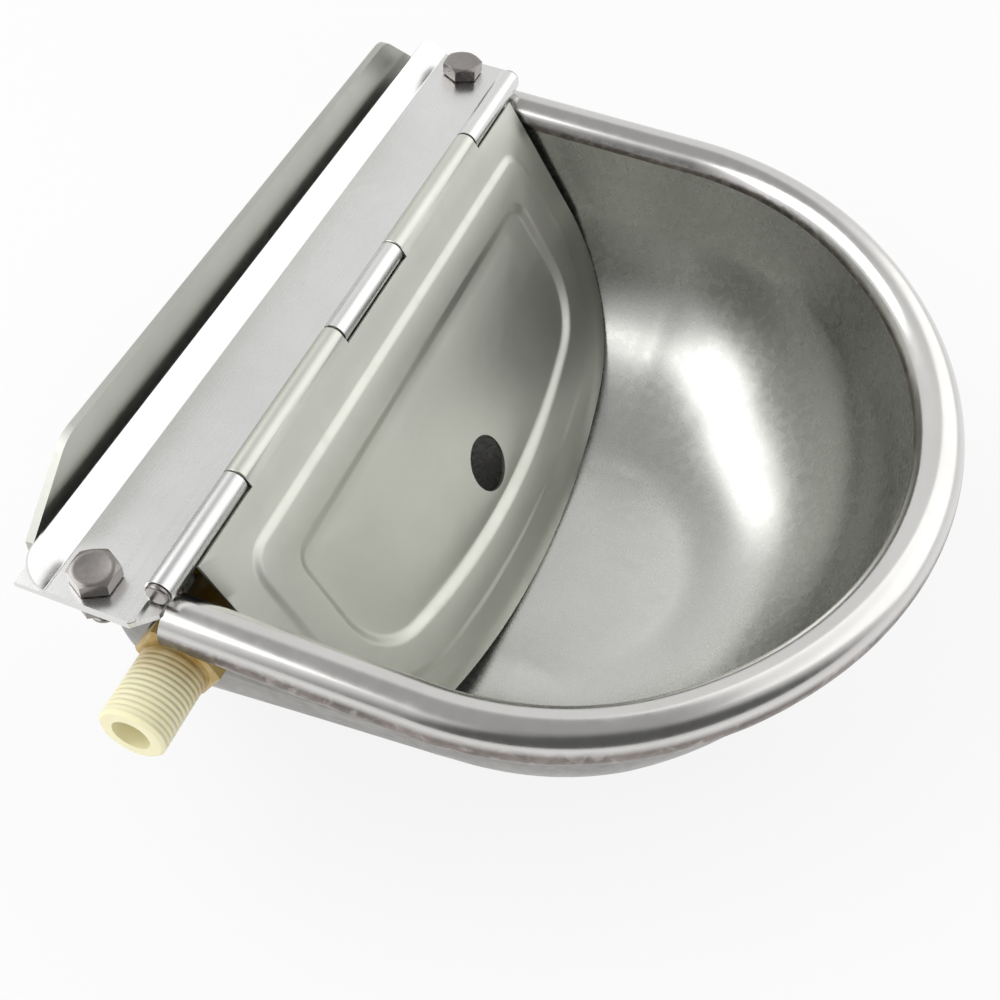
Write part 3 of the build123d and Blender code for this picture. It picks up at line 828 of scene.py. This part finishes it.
# ---------------------------------------------------------------- studio
floor_lift = 0.85  # share of plain white in the floor as it is seen
floor_edge, floor_gap = 6000, 0.0003  # half its side in mm, and metres below the bowl
room_strength = 0.88
room_dark_side, room_dark_level = (-0.766, -0.643, 0.0), 0.14
room_dark_from, room_dark_to = 0.34, 0.68
horizon_from, horizon_to = 0.07, 0.16  # height over which the dark side sets in, above a pale horizon
ceiling_from, ceiling_to, ceiling_level = 0.72, 0.9, 0.5
panel_distance = 1.3
rear_panel = (107, 43, 1.65, 0.85, 8.2)  # azimuth, elevation, width, height, watts
front_panel = (-42, 40, 1.5, 1.35, 4.2)
left_fill = ((-1.1, -0.6, 0.55), 0.9, 5.0)  # soft fill for the plastics, kept out of the metal
camera_lens, camera_sensor = 52.42, 36.0
camera_place, camera_turn = (-0.3202, -0.1965, 0.3257), (39.886, -3.019, -68.699)


def area_lamp(name, spot, aim, size, watts):
    """A soft rectangular lamp turned towards a point."""
    data = bpy.data.lights.new(name, "AREA")
    data.shape, data.size, data.size_y, data.energy = "RECTANGLE", *size, watts
    lamp = bpy.data.objects.new(name, data)
    lamp.location = spot
    lamp.rotation_euler = (Vector(aim) - Vector(spot)).to_track_quat("-Z", "Y").to_euler()
    bpy.context.scene.collection.objects.link(lamp)
    return lamp


def floor_look():
    """Pale floor, lifted towards white in the picture and in reflections, with the shadow kept."""
    graph = Graph("floor_look", (0.84, 0.84, 0.84), 0.9)
    grain = graph.noise(graph.coords, 900.0, 2.0)
    material = graph.finish(None, graph.span(grain, 0.3, 0.7, 0.85, 0.95))
    out = graph.tree.nodes["Material Output"]
    paths = graph.node("ShaderNodeLightPath")
    seen = graph.math("MAXIMUM", paths.outputs["Is Camera Ray"], paths.outputs["Is Glossy Ray"])
    seen = graph.math("MAXIMUM", seen, paths.outputs["Is Transmission Ray"])
    white = graph.node("ShaderNodeEmission")
    white.inputs["Strength"].default_value = 1.0
    mixer = graph.node("ShaderNodeMixShader")
    graph.feed(mixer.inputs[0], graph.math("MULTIPLY", seen, floor_lift))
    graph.tree.links.new(graph.shader.outputs[0], mixer.inputs[1])
    graph.tree.links.new(white.outputs[0], mixer.inputs[2])
    graph.tree.links.new(mixer.outputs[0], out.inputs["Surface"])
    return material


def stage_floor():
    """Flat floor just under the bowl."""
    height = (cad_low.z - floor_gap) / MM
    edge = floor_edge
    mesh = bpy.data.meshes.new("floor")
    corners = [(-edge, -edge, height), (edge, -edge, height), (edge, edge, height), (-edge, edge, height)]
    mesh.from_pydata([[value * MM for value in corner] for corner in corners], [], [(0, 1, 2, 3)])
    mesh.materials.append(floor_look())
    floor = bpy.data.objects.new("floor", mesh)
    bpy.context.scene.collection.objects.link(floor)


def soft_lamps():
    """Two panels, and a fill that metal doesn't show."""
    middle = (cad_low + cad_high) / 2
    for name, panel in (("rear_panel", rear_panel), ("front_panel", front_panel)):
        azimuth, elevation, width, high, watts = panel
        turn, level = radians(azimuth), cos(radians(elevation))
        toward = Vector((level * cos(turn), level * sin(turn), sin(radians(elevation))))
        area_lamp(name, middle + toward * panel_distance, middle, (width, high), watts)
    spot, size, watts = left_fill
    area_lamp("left_fill", spot, middle, (size, size), watts).visible_glossy = False


def eased_range(tree, value, low, high, to_low, to_high):
    """Map low..high of a value onto to_low..to_high, with a soft start and end."""
    made = tree.nodes.new("ShaderNodeMapRange")
    made.interpolation_type = "SMOOTHSTEP"
    limits = {"From Min": low, "From Max": high, "To Min": to_low, "To Max": to_high}
    for name, limit in limits.items():
        made.inputs[name].default_value = limit
    tree.links.new(value, made.inputs["Value"])
    return made.outputs["Result"]


def product(tree, first, second):
    made = tree.nodes.new("ShaderNodeMath")
    made.operation = "MULTIPLY"
    tree.links.new(first, made.inputs[0])
    tree.links.new(second, made.inputs[1])
    return made.outputs[0]


def room():
    """The world: a pale room that is darker on the left, above a pale horizon, and overhead."""
    world = bpy.data.worlds.new("studio")
    bpy.context.scene.world = world
    world.use_nodes = True
    tree = world.node_tree
    tree.nodes.clear()
    made = tree.nodes.new
    out = made("ShaderNodeOutputWorld")
    direction = made("ShaderNodeTexCoord").outputs["Generated"]
    leftward = made("ShaderNodeVectorMath")
    leftward.operation = "DOT_PRODUCT"
    leftward.inputs[1].default_value = room_dark_side
    tree.links.new(direction, leftward.inputs[0])
    split = made("ShaderNodeSeparateXYZ")
    tree.links.new(direction, split.inputs[0])
    height = split.outputs["Z"]
    horizon = eased_range(tree, height, horizon_from, horizon_to, 0.0, 1.0)
    above = product(tree, leftward.outputs["Value"], horizon)
    side = eased_range(tree, above, room_dark_from, room_dark_to, 1.0, room_dark_level)
    ceiling = eased_range(tree, height, ceiling_from, ceiling_to, 1.0, ceiling_level)
    backdrop = made("ShaderNodeBackground")
    tree.links.new(product(tree, side, ceiling), backdrop.inputs["Color"])
    backdrop.inputs["Strength"].default_value = room_strength
    tree.links.new(backdrop.outputs[0], out.inputs["Surface"])
    bpy.context.scene.view_settings.view_transform = "Standard"


def photo_camera():
    """Camera at the photograph's viewing angle."""
    data = bpy.data.cameras.new("camera")
    data.lens, data.sensor_width = camera_lens, camera_sensor
    data.clip_start, data.clip_end = 0.01, 50
    camera = bpy.data.objects.new("camera", data)
    camera.location = camera_place
    camera.rotation_euler = [radians(angle) for angle in camera_turn]
    bpy.context.scene.collection.objects.link(camera)
    bpy.context.scene.camera = camera


stage_floor()
soft_lamps()
room()
photo_camera()
